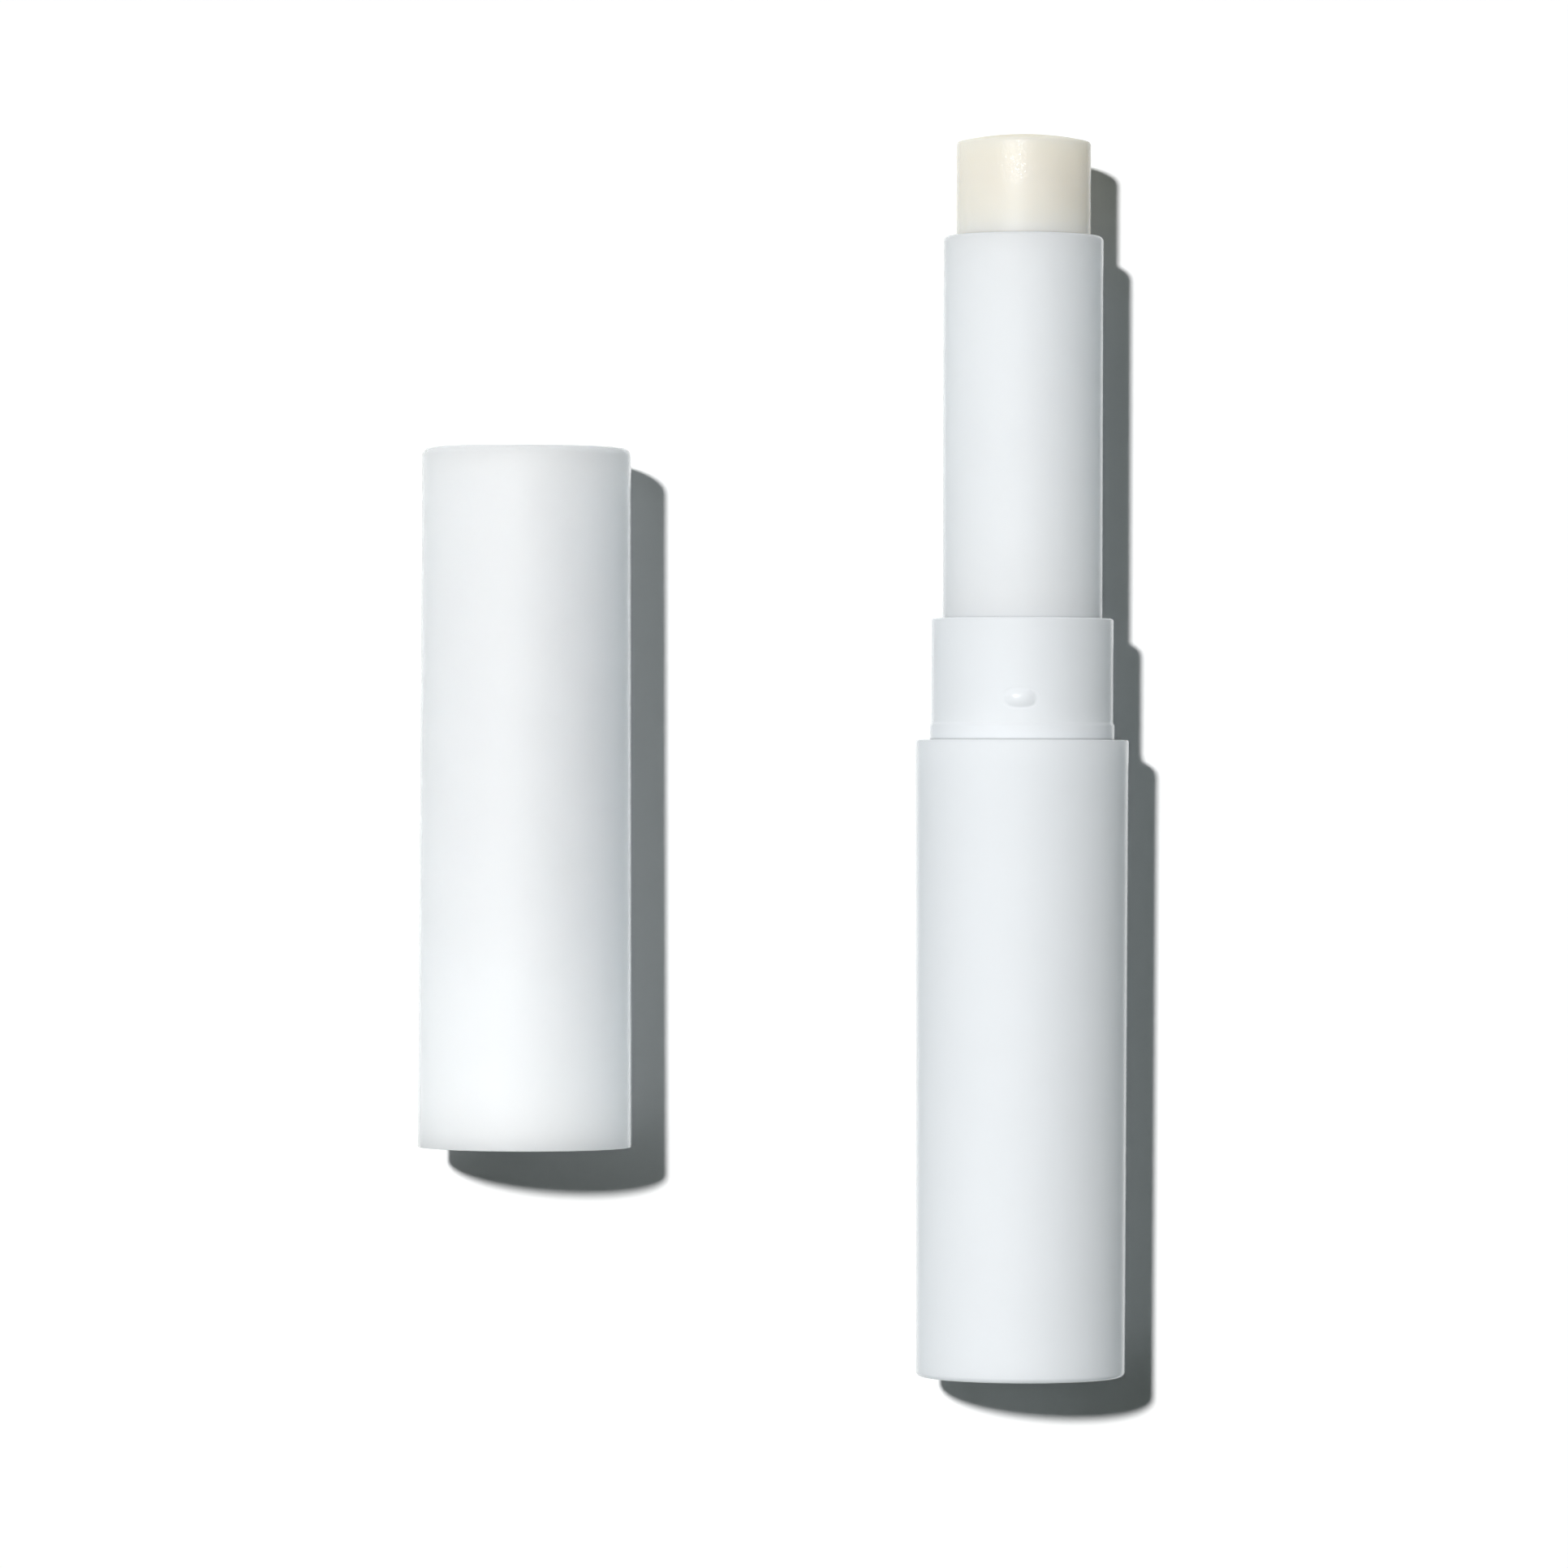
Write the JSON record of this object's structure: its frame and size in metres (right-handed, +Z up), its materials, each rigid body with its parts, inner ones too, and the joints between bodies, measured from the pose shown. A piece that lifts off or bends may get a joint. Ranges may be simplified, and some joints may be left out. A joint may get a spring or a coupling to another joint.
{
  "type": "lip balm stick",
  "caption": "Slim twist-up lip balm stick with its pull-off cap laid beside it; turning the base winds the balm out of its tube through a two-start spiral drive.",
  "frame": {"origin": "centre of the bounding box of the stick and its cap, on the surface that both lie on", "axes": "+Y along the stick, from its foot to the balm's tip; +Z up from the surface; +X from the cap to the stick"},
  "size_m": [0.0432, 0.0754, 0.0131],
  "materials": {
    "shell": "satin moulded plastic, pale cool white",
    "tube": "satin moulded plastic, faintly blue white",
    "drive": "natural moulded plastic",
    "ring": "soft rubber",
    "balm": "smooth cream wax, slightly translucent"
  },
  "bodies": {
    "base": {"base_shell": "shell", "spiral_sleeve": "drive", "collar": "shell"},
    "barrel": {"tube": "tube", "guide_fork": "drive", "brake_ring": "ring"},
    "carrier": {"carrier": "drive", "balm": "balm"},
    "cap": {"cap": "shell"}
  },
  "joints": [
    {"name": "twist", "type": "hinge", "parent": "base", "child": "barrel", "pos_m": [0.01515, 0, 0.0065], "axis": [0, -1, 0], "range_deg": [-230.4, 709.2]},
    {"name": "balm_feed", "type": "slide", "parent": "barrel", "child": "carrier", "axis": [0, 1, 0], "range_m": [-0.0064, 0.0197]},
    {"name": "cap_pull", "type": "slide", "parent": "base", "child": "cap", "axis": [0, 1, 0], "range_m": [0, 0.0635]}
  ],
  "couplings": [
    {"joint": "twist", "follows": "balm_feed", "rad_per_m": 628.32}
  ]
}
